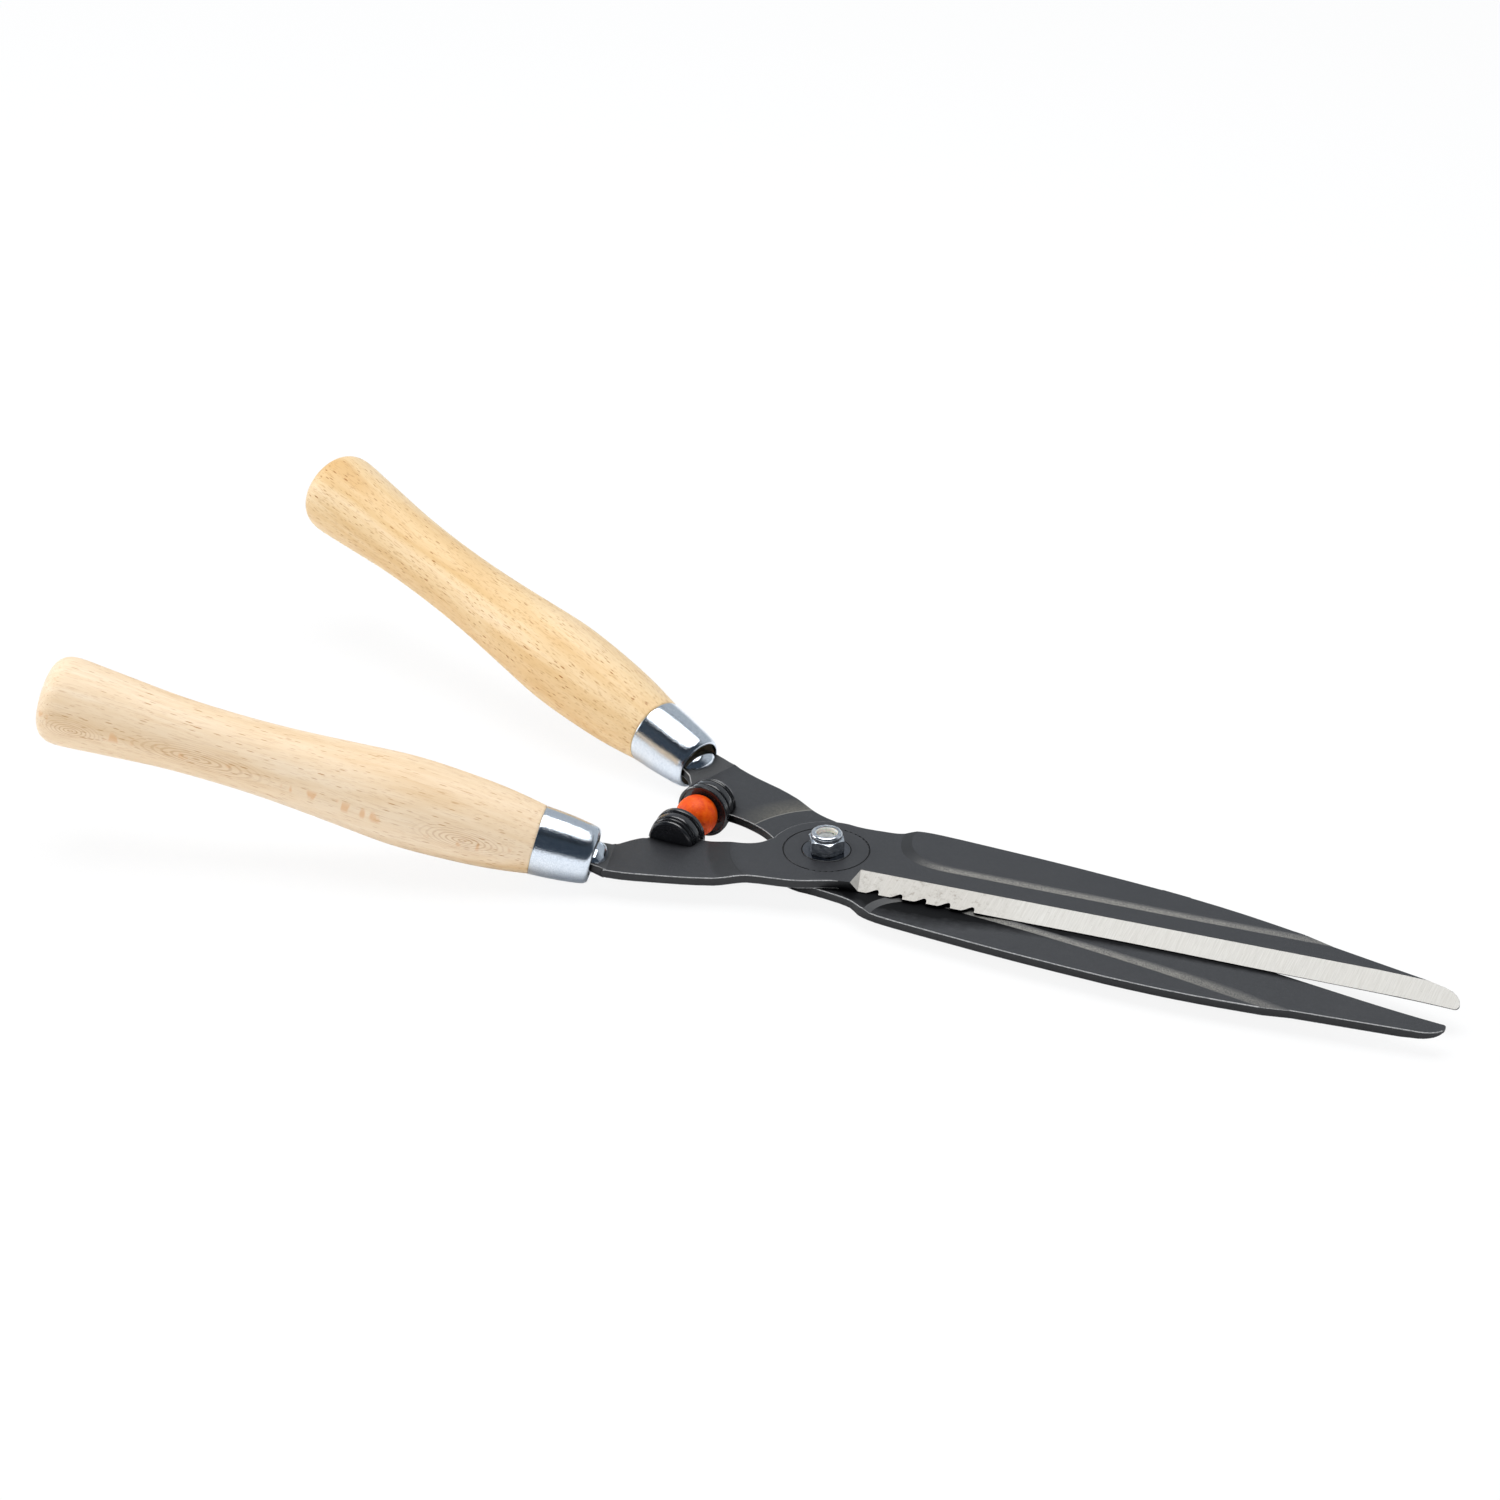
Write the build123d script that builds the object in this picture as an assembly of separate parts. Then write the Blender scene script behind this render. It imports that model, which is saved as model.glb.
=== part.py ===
from build123d import *
import math
import os

# Hand hedge shears with two turned wooden handles.
# Millimetres, +Z up.  The origin is on the pivot axis, on the flat underside of
# the pivot bolt's head.  +X runs forward to the blade tips, +Y is the user's left.
# The shears are modelled slightly open: each half is turned half_open away from shut.

# ---------------------------------------------------------------- driving sizes
plate_t = 3.6            # blade and arm plate thickness
half_open = 1.5          # each half's angle from fully shut, in the modelled pose (degrees)
ride_gap = 0.05          # half the running gap between the two plates
head_h = 5.3             # pivot bolt head height (M8)
head_face = 1.2          # washer face under the head
hex_af = 13.0            # across flats, M8
shank_r = 4.0            # M8 shank
pivot_bore_r = 4.05      # running bore in the upper plate
neck_side = 8.0          # square neck that keys the bolt to the lower plate
disc_r = 22.4            # round pivot boss of each plate
ring_r = 17.0            # coined ring round the pivot
ring_w = 0.9
ring_d = 0.3
ramp_in = 38.0           # radius where an arm starts to step to the middle plane
ramp_out = 47.0          # radius where the step ends
left_rise = 0.4          # the lower plate's arm rises only this much; its tang starts to bend earlier instead
press_h = 0.8            # height of the pressed-out spine zone of each blade
bevel_w = 10.8           # ground bevel, plan width
bevel_land = 0.25        # thickness left at the cutting edge
notch_n = 5              # branch notches near the heel of the upper blade
notch_pitch = (9.6, 1.0)

crank = 13.0             # upward bend of the tangs and handles
splay = 15.61            # outward plan angle of the handles, shut
grip_start = (-110.39, -49.33, 8.47)  # handle axis point at station 0, shut, above the mating plane
grip_len = 194.7         # station 0 to the butt
rim_s = -8.0             # station of the ferrule's wood-side rim
nose_s = -31.1           # station of the right ferrule's mouth
left_nose_s = -33.6      # station of the left ferrule's mouth, which is pressed on a little further
bend_s = -37.65          # station where the flat arm bends up into the tang
tang_tip_s = 62.0        # station of the tang's point inside the wood
collar_r = 5.5           # domed collar on the tang: half height over the plate and half length
collar_w = 8.4           # half width across the plate
collar_s = -31.2         # station of the right collar's centre
left_collar_s = -33.0    # station of the left collar's centre
shoulder_s = -29.8       # station where the tang narrows inside the ferrule

washer_r, washer_t = 9.6, 0.8
seat_d = 0.6             # coined seat the washer lies in
nut_hex_h = 5.7
nut_h = 7.9
collar_nut_r = 6.2

cup_x = -59.3            # fore-aft place of the buffer, shut
cup_z = 1.0              # height of the buffer's axis above the arms' middle plane
cup_face_y = 18.65       # outer face of each cup, shut
right_rim_y = 8.0        # open rim of the right cup, shut
left_rim_y = 7.2         # open rim of the left cup, shut
ball_r = 8.45
ball_z = 1.4
ball_y = -2.5            # ball centre in the left half's own mirrored frame, shut

mate_z = head_face + head_h + plate_t + ride_gap      # height of the plane where the plates meet
T = plate_t

os.makedirs("parts", exist_ok=True)


def spl(pts):
    return Spline(*[(x, y) for x, y in pts])


def seg(a, b):
    return Line(a, b)


def face_of(edges):
    return make_face(edges)


# ------------------------------------------------- outline of one half, shut, seen from above
# (the upper plate: its blade's cutting edge faces -Y, its handle is on the -Y side)
tip_c = (255.3, -0.94)
heel = (21.0, -18.95)
cut_edge = [tip_c, (231.6, -1.75), (197.0, -4.34), (147.6, -7.67), (98.2, -11.56), (48.8, -16.04),
            (33.0, -17.65), heel]
near_edge = [heel, (13.3, -20.2), (7.8, -22.6), (1.8, -25.7), (-2.8, -27.5), (-10.8, -29.4),
             (-15.3, -30.3), (-23.9, -33.1), (-28.0, -34.9), (-34.6, -37.8), (-41.9, -40.7),
             (-51.3, -43.8), (-60.5, -46.7), (-66.0, -48.2), (-72.36, -49.09)]
tang_root_in = (-77.89, -29.37)
arm_in = [tang_root_in, (-76.9, -28.6), (-75.1, -26.0), (-73.1, -23.2), (-70.9, -20.7), (-68.8, -19.5)]
tab = [(-68.8, -19.5), (-67.1, -15.4), (-65.8, -12.8), (-63.6, -11.8), (-58.5, -11.7), (-52.8, -11.6),
       (-46.8, -11.3), (-40.3, -10.9), (-34.3, -10.0), (-29.1, -8.2), (-25.5, -5.4), (-23.6, -2.4),
       (-22.4, 0.0)]
spine = [(0.0, 22.4), (7.9, 22.2), (14.6, 23.1), (21.9, 24.8), (25.5, 27.1), (30.8, 28.6), (38.7, 29.1),
         (51.2, 29.2), (70.8, 29.15), (90.8, 28.85), (111.8, 28.1), (130.7, 27.2), (150.7, 25.5),
         (167.6, 23.3), (190.6, 19.3), (205.5, 16.5), (220.4, 13.6), (233.4, 11.2), (247.0, 8.6)]
tip = [(247.0, 8.6), (253.2, 6.9), (256.5, 4.2), (257.5, 1.3), (257.0, -0.5), tip_c]

# the lower plate's boss is a little wider on the spine side and its pressing starts further out
spine_l = [(0.0, 23.5), (7.9, 23.2), (14.6, 23.5), (20.6, 24.1), (24.4, 25.2), (27.9, 27.0), (32.8, 28.4), (39.5, 29.0)] + spine[7:]
# its arm is a little slimmer than the upper plate's
near_edge_l = [heel, (13.3, -20.2), (7.8, -22.3), (1.8, -24.6), (-2.8, -26.0), (-10.8, -27.7), (-15.3, -28.7),
               (-23.9, -32.2), (-28.0, -34.4), (-34.6, -37.4), (-41.9, -40.0), (-51.3, -42.6), (-60.5, -45.8),
               (-66.0, -47.9), (-72.36, -49.09)]
tab_l = [(-68.8, -19.5), (-67.1, -15.4), (-65.8, -12.8), (-63.6, -11.8), (-58.5, -11.7), (-52.8, -11.6),
         (-46.8, -11.2), (-40.3, -10.4), (-34.3, -8.7), (-29.1, -6.2), (-25.5, -3.8), (-23.6, -1.9), (-22.4, 0.0)]


def outline_face(near, inner, back, mid_r):
    return face_of([
        spl(cut_edge), spl(near), seg(near[-1], tang_root_in), spl(arm_in), spl(inner),
        ThreePointArc((-22.4, 0.0), (-mid_r * math.cos(math.radians(45)), mid_r * math.sin(math.radians(45))), back[0]),
        spl(back), spl(tip)])


outline = outline_face(near_edge, tab, spine, 22.4)
outline_l = outline_face(near_edge_l, tab_l, spine_l, 22.75)

# pressed-out zone along the spine: foot and crest of its slope on the outer face,
# and the matching hollow on the mating face; all four lines close on the spine near the tip
zone_toe = [(22.9, 26.0), (24.8, 16.4), (30.0, 8.8), (39.0, 4.8), (47.5, 4.3), (60.1, 5.3), (83.3, 6.9), (106.5, 8.6),
            (130.0, 10.4), (156.0, 12.6), (180.0, 14.9), (205.0, 17.0)]
zone_crest = [(27.0, 26.0), (28.5, 18.5), (33.0, 12.2), (41.0, 8.4), (49.0, 7.6), (60.0, 8.4), (83.0, 10.0),
              (106.5, 11.7), (130.0, 13.5), (156.0, 15.6), (178.0, 17.6), (196.0, 19.3)]
hollow_toe = [(30.3, 28.0), (30.6, 22.5), (32.9, 17.6), (36.0, 13.4), (41.0, 9.6), (48.0, 7.9), (60.0, 7.6), (83.0, 8.3),
              (106.5, 9.0), (130.0, 9.9), (156.0, 10.9), (180.0, 12.8), (198.0, 16.2), (206.0, 17.4)]
hollow_deep = [(33.5, 28.0), (34.0, 23.0), (36.0, 19.0), (39.0, 15.8), (44.0, 12.6), (50.0, 11.2), (60.0, 11.0),
               (83.0, 11.3), (106.5, 12.0), (130.0, 13.3), (156.0, 15.3), (177.0, 17.6), (190.0, 18.9), (200.0, 19.5)]


def zone_face(line):
    a, b = line[0], line[-1]
    far = 60.0
    return face_of([spl(line), seg(b, (b[0] + 4, far)), seg((b[0] + 4, far), (a[0], far)), seg((a[0], far), a)])


def zone_body(foot, top, z_foot):
    """block under a sloping border: ruled from the foot line up to the line press_h higher"""
    return loft([Pos(0, 0, z_foot) * zone_face(foot), Pos(0, 0, z_foot + press_h) * zone_face(top)], ruled=True)


def edge_y(x):
    """cutting edge ordinate at abscissa x (shut)"""
    pts = sorted(cut_edge)
    for (x0, y0), (x1, y1) in zip(pts, pts[1:]):
        if x <= x1:
            return y0 + (y1 - y0) * (x - x0) / (x1 - x0)
    (x0, y0), (x1, y1) = pts[-2:]
    return y0 + (y1 - y0) * (x - x0) / (x1 - x0)


def bevel_cutter(z_up):
    """material the grinding wheel removes above the bevel; z_up = plate thickness"""
    k = (z_up - bevel_land) / bevel_w
    secs = []
    for x in (10, 35, 70, 110, 150, 190, 225, 272):
        y = edge_y(x)
        lo = bevel_land - 6 * k
        p = [(x, y - 6, lo), (x, y + bevel_w + 6, z_up + 6 * k), (x, y - 6, z_up + 6 * k)]
        secs.append(Face(Wire.make_polygon([Vector(*q) for q in p], close=True)))
    wedge = loft(secs, ruled=True)
    # the wheel runs out at the heel on a 45 degree wall
    wall = Plane(origin=(18.5, 0, z_up), x_dir=(0, 1, 0), z_dir=(1, 0, 1))
    return split(wedge, bisect_by=wall, keep=Keep.TOP)


def notch(i):
    ox, oy = 25.1 + notch_pitch[0] * i, -18.25 + notch_pitch[1] * i
    p = [(0, -0.2), (1.5, 0.85), (2.7, 2.0), (3.4, 2.45), (4.1, 2.3), (4.7, 1.3), (5.1, -0.2)]
    q = [(ox + a, oy + b) for a, b in p]
    f = face_of([spl(q), seg(q[-1], (q[-1][0], oy - 4)), seg((q[-1][0], oy - 4), (ox, oy - 4)), seg((ox, oy - 4), q[0])])
    return extrude(Pos(0, 0, -2) * f, 8)


# ------------------------------------------------- handle axis frame
ca, sa = math.cos(math.radians(crank)), math.sin(math.radians(crank))
cs, ss = math.cos(math.radians(splay)), math.sin(math.radians(splay))
axis_dir = Vector(-cs * ca, -ss * ca, sa)         # towards the butt
across = Vector(ss, -cs, 0)                       # outward, in plan


def axis_pt(s):
    return Vector(*grip_start) + axis_dir * s


def on_axis(s):
    """plane at station s: x across, y up-ish, z along the axis"""
    return Plane(origin=axis_pt(s), x_dir=across, z_dir=axis_dir)


def lay_plane():
    """plane of the tang: x along the axis, y across"""
    return Plane(origin=axis_pt(0), x_dir=axis_dir, z_dir=axis_dir.cross(across))


def turned(profile, extra=()):
    """solid of revolution about the handle axis; profile = closed list of (station, radius) edges"""
    f = face_of(profile)
    # profile drawn in local XY: x = station, y = radius
    pl = Plane(origin=axis_pt(0), x_dir=axis_dir, z_dir=axis_dir.cross(across))
    solid = revolve(f, Axis.X, 360)
    return pl * solid


def tang_solid(grow=0.0):
    g = grow
    pts = [(bend_s - 0.6, 10.05 + g), (bend_s, 10.0 + g), (nose_s, 8.8 + g), (shoulder_s - 0.9, 8.7 + g), (shoulder_s, 2.6 + g),
           (0, 2.6 + g), (tang_tip_s - 6, 2.1 + g), (tang_tip_s + g, 0.8 + g)]
    back = [(s, -w) for s, w in reversed(pts)]
    f = make_face(Polyline(*(pts + back), close=True))
    return lay_plane() * extrude(f, T / 2 + g, both=True)


def bend_roll(r):
    """round of the fold line where the flat arm turns up into the tang"""
    p = axis_pt(bend_s)
    return Plane(origin=(p.X - ss * 10.1, p.Y + cs * 10.1, 0), x_dir=(-cs, -ss, 0), z_dir=(ss, -cs, 0)) * extrude(Circle(r), 20.1)


# the lower plate's arm lies lower, so the fold is further from the wood
left_mid = -T / 2 + left_rise                     # middle plane of its arm
left_bend_s = (left_mid - grip_start[2]) / sa     # station where it meets the handle axis


def left_tang(grow=0.0):
    g = grow
    b = left_bend_s
    pts = [(b - 0.6, 10.8 + g), (b, 10.7 + g), (-40.9, 10.35 + g), (bend_s, 10.0 + g), (nose_s, 8.8 + g),
           (shoulder_s - 0.9, 8.7 + g), (shoulder_s, 2.6 + g), (0, 2.6 + g), (tang_tip_s - 6, 2.1 + g),
           (tang_tip_s + g, 0.8 + g), (tang_tip_s + g, -0.8 - g), (tang_tip_s - 6, -2.1 - g), (0, -2.6 - g),
           (shoulder_s, -2.6 - g), (shoulder_s - 0.9, -8.7 - g), (nose_s, -8.8 - g), (bend_s, -10.0 - g),
           (-38.8, -10.9 - g), (-41.3, -12.75 - g), (b, -15.15 - g), (b - 0.6, -15.6 - g)]
    return lay_plane() * extrude(make_face(Polyline(*pts, close=True)), T / 2 + g, both=True)


def left_fold(r):
    p = axis_pt(left_bend_s)
    a, b = 15.1, 10.7
    return Plane(origin=(p.X - ss * a, p.Y + cs * a, left_mid), x_dir=(-cs, -ss, 0), z_dir=(ss, -cs, 0)) * extrude(Circle(r), a + b)


def left_beyond():
    """space past the fold line, where the flat arm has ended"""
    p = axis_pt(left_bend_s)
    return Plane(origin=(p.X, p.Y, 0), x_dir=(-cs, -ss, 0), z_dir=(0, 0, 1)) * Pos(30, 0, 0) * Box(60, 60, 40)


# ------------------------------------------------- one plate half, shut, mating face at z = 0
def plate_half(notches):
    prism = extrude(Pos(0, 0, -10) * outline, 30)
    blade_side = prism & Pos(150, 0, T / 2) * Box(300, 200, T)
    a, b = ramp_in, ramp_out
    prof = make_face(Polyline((0, 0), (a - 1, 0), (a + 1, -0.22), (b - 1, -T / 2 + 0.2), (b + 1, -T / 2), (140, -T / 2),
                              (140, T / 2), (b + 1.2, T / 2), (b - 1.2, T / 2 + 0.24), (a + 1.2, T - 0.24), (a - 1.2, T),
                              (0, T), close=True))
    swept = revolve(Plane.XZ * prof, Axis.Z, 360)
    arm_side = (prism & swept) & Pos(-100, 0, 0) * Box(200, 200, 40)
    body = blade_side + arm_side
    # tang, bent up
    body = body + bend_roll(T / 2 - 0.001) + tang_solid()
    # bevel, then the pressed-out spine zone with its hollow on the mating side
    body = body - bevel_cutter(T)
    rib = zone_body(zone_toe, zone_crest, T)
    keep = extrude(Pos(0, 0, -1) * outline, 20)
    body = body + (rib & keep)
    body = body - (zone_body(hollow_toe, hollow_deep, 0) & keep)
    # coined ring and washer seat
    body = body - Pos(0, 0, T) * Torus(ring_r, ring_d) 
    if notches:
        for i in range(notch_n):
            body = body - notch(i)
    return body


NODES = {}


def put(name, shape):
    NODES[name] = shape


# ------------------------------------------------- plates
upper = plate_half(True)
upper = upper - Pos(0, 0, -20) * Cylinder(pivot_bore_r, 60)
upper = upper - Pos(0, 0, T - seat_d + 5) * Cylinder(washer_r + 0.25, 10)
put("upper_blade", Pos(0, 0, mate_z + ride_gap) * Rot(0, 0, half_open) * upper)


def lower_half():
    """lower plate: blade mirrored through the mating plane, but its tang bends up like the other"""
    prism = extrude(Pos(0, 0, -15) * outline_l, 30)
    blade_side = prism & Pos(150, 0, -T / 2) * Box(300, 200, T)
    a, b, h = ramp_in, ramp_out, left_rise
    prof = make_face(Polyline((0, 0), (a - 1, 0), (a + 1, 0.06), (b - 1, h - 0.03), (b + 1, h), (140, h), (140, h - T),
                              (b + 1, h - T), (b - 1, h - T - 0.06), (a + 1, -T + 0.03), (a - 1, -T), (0, -T), close=True))
    swept = revolve(Plane.XZ * prof, Axis.Z, 360)
    arm_side = ((prism & swept) & Pos(-100, 0, 0) * Box(200, 200, 40)) - left_beyond()
    body = blade_side + arm_side + left_fold(T / 2 - 0.001) + left_tang()
    cut = mirror(bevel_cutter(T), Plane.XY)
    body = body - cut
    keep = extrude(Pos(0, 0, -15) * outline_l, 30)
    rib = mirror(zone_body(zone_toe, zone_crest, T), Plane.XY)
    body = body + (rib & keep)
    hollow = mirror(zone_body(hollow_toe, hollow_deep, 0), Plane.XY)
    body = body - (hollow & keep)
    body = body - Pos(0, 0, -T) * Torus(ring_r, ring_d)
    return body


lower = mirror(lower_half(), Plane.XZ)
lower = Rot(0, 0, -half_open) * lower
lower = lower - Box(neck_side + 0.04, neck_side + 0.04, 60)
put("lower_blade", Pos(0, 0, mate_z - ride_gap) * lower)

# ------------------------------------------------- pivot bolt, washer, nut, locking ring
z_head_top = mate_z - ride_gap - T
hexa = extrude(RegularPolygon(hex_af / 2, 6, major_radius=False), head_h)
hexa = Pos(0, 0, head_face) * hexa
cone = Pos(0, 0, head_face) * extrude(Circle(hex_af / 2 - 0.05), 12, taper=-60)
hexa = hexa & cone
face_disc = Cylinder(hex_af / 2 - 0.5, head_face, align=(Align.CENTER, Align.CENTER, Align.MIN))
z_neck = z_head_top
neck = Pos(0, 0, z_neck + (T - 0.5) / 2) * Box(neck_side, neck_side, T - 0.5)
z_plate_top = mate_z + ride_gap + T
z_washer = z_plate_top - seat_d + 0.0
z_nut = z_washer + washer_t
bolt_top = z_nut + 6.3
shank = Pos(0, 0, z_neck) * Cylinder(shank_r, bolt_top - z_neck, align=(Align.CENTER, Align.CENTER, Align.MIN))
shank = chamfer(shank.edges().sort_by(Axis.Z)[-1], 0.9)
put("pivot_bolt", Rot(0, 0, 5) * (face_disc + hexa) + neck + shank)

washer = Pos(0, 0, z_washer) * (Cylinder(washer_r, washer_t, align=(Align.CENTER, Align.CENTER, Align.MIN))
                                - Cylinder(shank_r + 0.2, washer_t, align=(Align.CENTER, Align.CENTER, Align.MIN)))
washer = chamfer(washer.edges().filter_by(GeomType.CIRCLE).group_by(Axis.Z)[-1].sort_by(SortBy.LENGTH)[-1], 0.25)
put("pivot_washer", washer)

top_cone = Pos(0, 0, nut_hex_h) * mirror(extrude(Circle(hex_af / 2 - 0.1), 12, taper=-62), Plane.XY)
bot_cone = extrude(Circle(hex_af / 2 - 0.15), 12, taper=-62)
nut_hex = extrude(RegularPolygon(hex_af / 2, 6, major_radius=False), nut_hex_h) & top_cone & bot_cone
collar_prof = make_face(
    [seg((0, nut_hex_h - 0.6), (collar_nut_r, nut_hex_h - 0.6)), seg((collar_nut_r, nut_hex_h - 0.6), (collar_nut_r, nut_h - 1.0)),
     ThreePointArc((collar_nut_r, nut_h - 1.0), (collar_nut_r - 0.35, nut_h - 0.28), (collar_nut_r - 1.1, nut_h)),
     seg((collar_nut_r - 1.1, nut_h), (0, nut_h)), seg((0, nut_h), (0, nut_hex_h - 0.6))])
nut = nut_hex + revolve(Plane.XZ * collar_prof, Axis.Z, 360)
ring_lo, ring_hi = 5.3, 7.45
nut = nut - Cylinder(shank_r + 0.03, 40)
nut = nut - Pos(0, 0, ring_lo) * Cylinder(5.1, ring_hi - ring_lo, align=(Align.CENTER, Align.CENTER, Align.MIN))
nut = nut - Pos(0, 0, ring_lo) * Cylinder(4.45, 5, align=(Align.CENTER, Align.CENTER, Align.MIN))
put("pivot_nut", Pos(0, 0, z_nut) * Rot(0, 0, 5 - 0) * nut)

ins = (Cylinder(5.08, ring_hi - ring_lo - 0.04, align=(Align.CENTER, Align.CENTER, Align.MIN))
       - Cylinder(shank_r + 0.03, 10))
inner_top = [e for e in ins.edges().filter_by(GeomType.CIRCLE) if abs(e.radius - shank_r - 0.03) < 0.01 and e.center().Z > 1][0]
ins = fillet(inner_top, 0.6)
put("nut_locking_ring", Pos(0, 0, z_nut + ring_lo + 0.02) * ins)

# ------------------------------------------------- handles
grip_pts = [(rim_s, 13.85), (0, 15.15), (12, 16.65), (24.6, 17.55), (38, 18.1), (49.3, 18.05), (61, 17.3), (73.9, 16.3),
            (98.5, 14.7), (123.1, 14.2), (147.8, 14.95), (160, 15.9), (172.4, 16.9), (180, 17.5)]
butt_pts = [(180, 17.5), (184.2, 17.7), (188.0, 17.3), (191.0, 15.8), (193.2, 12.8), (194.3, 8.4), (grip_len, 0)]
spigot = [(-24.5, 0), (-24.5, 11.3), (rim_s, 12.93), (rim_s, 13.85)]


def grip_solid():
    e = [seg(spigot[0], spigot[1]), seg(spigot[1], spigot[2]), seg(spigot[2], spigot[3]),
         Spline(*(grip_pts + butt_pts[1:]), tangents=[(8, 1.4), (0, -1)], tangent_scalars=[1, 1]),
         seg((grip_len, 0), spigot[0])]
    return turned(e) - tang_solid(0.03)


def ferrule_solid(mouth):
    stretch = (mouth - rim_s) / -24.6
    out = [(rim_s, 13.9), (-14, 13.55), (-20, 13.05), (-26, 12.35), (-30.0, 11.7), (-31.8, 11.05), (-32.6, 10.3)]
    inn = [(-32.6, 9.75), (-31.5, 10.3), (-29.6, 10.9), (-26.0, 11.5), (-20.0, 12.2), (-14.0, 12.65), (rim_s, 12.95)]
    out = [(rim_s + (q - rim_s) * stretch, r) for q, r in out]
    inn = [(rim_s + (q - rim_s) * stretch, r) for q, r in inn]
    e = [spl(out), seg(out[-1], inn[0]), spl(inn), seg(inn[-1], out[0])]
    return turned(e)


def collar_solid(c):
    """domed collar threaded on the tang in the ferrule's mouth, c = station of its centre"""
    lp = lay_plane()
    t2 = T + 0.06
    half = [(collar_r * math.cos(math.radians(t)), collar_w * math.sin(math.radians(t))) for t in range(-90, 91, 15)]
    half[0], half[-1] = (0, -collar_w), (0, collar_w)
    f = face_of([Spline(*half, tangents=[(1, 0), (-1, 0)]), seg(half[-1], half[0])])
    dome = lp * Pos(c, 0, 0) * revolve(f, Axis.Y, 360)
    edge = shoulder_s + 0.1
    wide = lp * Pos((edge - 45) / 2, 0, 0) * Box(edge + 45, 30, t2)
    narrow = lp * Pos(edge + 4.9, 0, 0) * Box(10, 5.4, t2)
    return max((dome - wide - narrow).solids(), key=lambda q: q.volume)


def right(s, z=0.0):
    return Pos(0, 0, mate_z + z) * Rot(0, 0, half_open) * s


def left(s, z=0.0):
    return Pos(0, 0, mate_z + z) * Rot(0, 0, -half_open) * mirror(s, Plane.XZ)


g = grip_solid()
put("right_handle_grip", right(g, ride_gap))
put("left_handle_grip", left(g, -ride_gap))
put("right_ferrule", right(ferrule_solid(nose_s), ride_gap))
put("left_ferrule", left(ferrule_solid(left_nose_s), -ride_gap))
put("right_tang_collar", right(collar_solid(collar_s), ride_gap))
put("left_tang_collar", left(collar_solid(left_collar_s), -ride_gap))

# ------------------------------------------------- rubber buffer between the arms


def cup(rim_y, grow, seat_r, seat_c, seat_z, recess):
    """ribbed cup, axis along Y, open towards +Y at y = -rim_y; shut frame, right side"""
    y0, y1 = -cup_face_y, -rim_y
    pr = [(0, 0), (8.6, 0), (9.3, 0.35), (9.5, 0.9), (9.35, 1.35), (8.6, 1.5), (8.6, 1.85), (9.6, 2.1), (9.9, 2.5),
          (9.75, 2.9), (9.1, 3.15), (9.1, 3.6), (10.0, 3.9), (10.2, 4.4), (10.25, 6.7), (10.05, 7.2), (9.4, 7.4),
          (9.4, 8.1), (10.4, 8.4), (10.65, 8.8), (10.65, y1 - y0 - 0.4),
          (10.3, y1 - y0), (0, y1 - y0)]
    f = make_face(Polyline(*[(x * (1 + grow * y / 10), y0 + y) for x, y in pr], close=True))
    body = revolve(f, Axis.Y, 360)
    body = body - Pos(0, seat_c, seat_z) * Sphere(seat_r)
    if recess:
        body = body - Pos(0, y1 - recess[1] + 5, 0) * Rot(90, 0, 0) * Cylinder(recess[0], 10)
    return Pos(cup_x, 0, cup_z) * body


def slotted(c, mid):
    """slot for the arm's inner edge; mid = the arm's middle plane"""
    slot_y = -11.35
    cutter = Box(40, 20, T + 0.04, align=(Align.CENTER, Align.MAX, Align.CENTER))
    return c - Pos(cup_x, slot_y, mid) * cutter


put("right_buffer_cup", right(slotted(cup(right_rim_y, 0.0, 9.6, 0.7, 0, None), 0), ride_gap))
put("left_buffer_cup", left(slotted(cup(left_rim_y, 0.03, ball_r + 0.03, ball_y, ball_z - cup_z, (9.9, 1.2)), left_mid), -ride_gap))
put("buffer_ball", left(Pos(cup_x, ball_y, ball_z) * Sphere(ball_r), -ride_gap))

# ------------------------------------------------- write
for name, shape in NODES.items():
    solids = shape.solids()
    shape = solids[0] if len(solids) == 1 else Compound(children=list(solids))
    export_step(shape, f"parts/{name}.step")
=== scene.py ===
"""Hand shears lying open on a pale floor.

The pivot is at the origin with its axis along z, the blades point to +x and the handles to -x.
The right half carries the upper blade and its handle lies at -y; the left half mirrors it across
the x axis, below the mating plane. Geometry tables are in mm, shader distances in metres.
"""

import math
from functools import reduce

import bmesh
import bpy
import numpy as np
from mathutils import Matrix, Vector


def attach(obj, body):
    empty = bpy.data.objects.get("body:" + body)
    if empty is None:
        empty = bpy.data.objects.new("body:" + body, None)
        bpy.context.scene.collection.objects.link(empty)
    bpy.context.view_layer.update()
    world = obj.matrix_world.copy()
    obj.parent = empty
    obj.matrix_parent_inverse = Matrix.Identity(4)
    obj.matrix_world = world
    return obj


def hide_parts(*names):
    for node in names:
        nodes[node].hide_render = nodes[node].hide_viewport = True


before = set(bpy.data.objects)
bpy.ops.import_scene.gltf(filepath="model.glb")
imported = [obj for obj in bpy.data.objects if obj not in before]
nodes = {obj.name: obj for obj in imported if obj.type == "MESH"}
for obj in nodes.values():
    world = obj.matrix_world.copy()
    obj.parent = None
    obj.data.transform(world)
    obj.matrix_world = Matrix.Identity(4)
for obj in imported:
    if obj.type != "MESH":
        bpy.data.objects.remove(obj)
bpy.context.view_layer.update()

MM = 0.001
MATE_Z = 10.15                  # height of the mating plane
HALF_GAP = 0.05                 # each half's distance from the mating plane
HALF_TURN = math.radians(1.5)   # each half's turn from shut
SIDES = {"right": 1, "left": -1}


# ---------------------------------------------------------------- node helpers

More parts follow.
